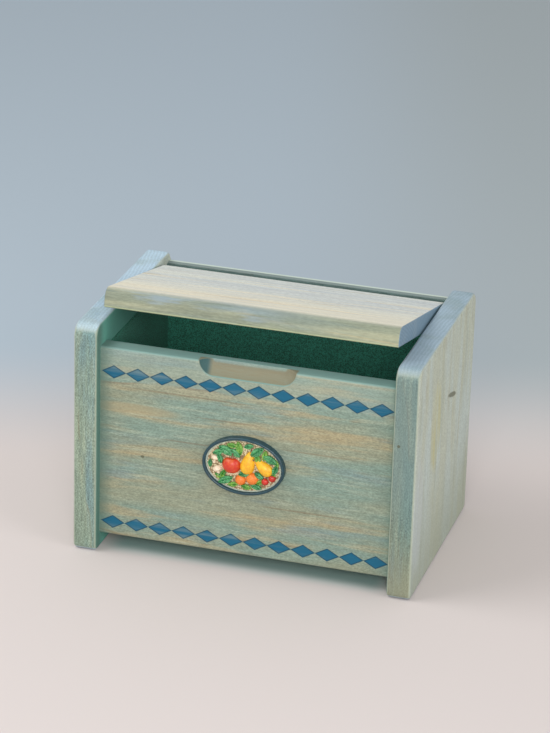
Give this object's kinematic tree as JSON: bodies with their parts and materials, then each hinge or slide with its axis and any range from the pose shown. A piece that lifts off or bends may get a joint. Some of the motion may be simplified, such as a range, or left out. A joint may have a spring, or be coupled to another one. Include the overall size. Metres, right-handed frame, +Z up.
{
  "type": "recipe card box",
  "caption": "Wooden recipe card box with thick rounded side panels, a hinged lid set between them, a finger scoop, a felt lining and an oval relief medallion.",
  "frame": {"origin": "middle of the footprint, on the surface that the box stands on", "axes": "+X to the right along the box's width seen from the front, +Y from the front to the back, +Z up; the front faces -Y"},
  "size_m": [0.158, 0.104, 0.1253],
  "materials": {
    "washed_pine_side": "blue-green washed stain, matt varnish",
    "washed_pine_front": "blue-green washed stain with a stencilled border, matt varnish",
    "washed_pine_lid": "pale washed stain, matt varnish",
    "birch_ply": "bare plywood",
    "beech_dowel": "bare",
    "pin_steel": "bare steel",
    "green_felt": "dark green felt",
    "painted_resin": "cast resin, hand-painted, satin varnish"
  },
  "bodies": {
    "box": {"side_left": "washed_pine_side", "side_right": "washed_pine_side", "front_panel": "washed_pine_front", "back_panel": "washed_pine_front", "bottom_panel": "birch_ply", "front_dowels": "beech_dowel", "back_dowels": "beech_dowel", "lining_bottom": "green_felt", "lining_front": "green_felt", "lining_back": "green_felt", "lining_left": "green_felt", "lining_right": "green_felt", "medallion": "painted_resin"},
    "lid": {"lid": "washed_pine_lid", "hinge_pin_left": "pin_steel", "hinge_pin_right": "pin_steel"}
  },
  "joints": [
    {"name": "lid_hinge", "type": "hinge", "parent": "box", "child": "lid", "pos_m": [0, 0.0325, 0.1038], "axis": [-1, 0, 0], "range_deg": [-13, 135]}
  ]
}
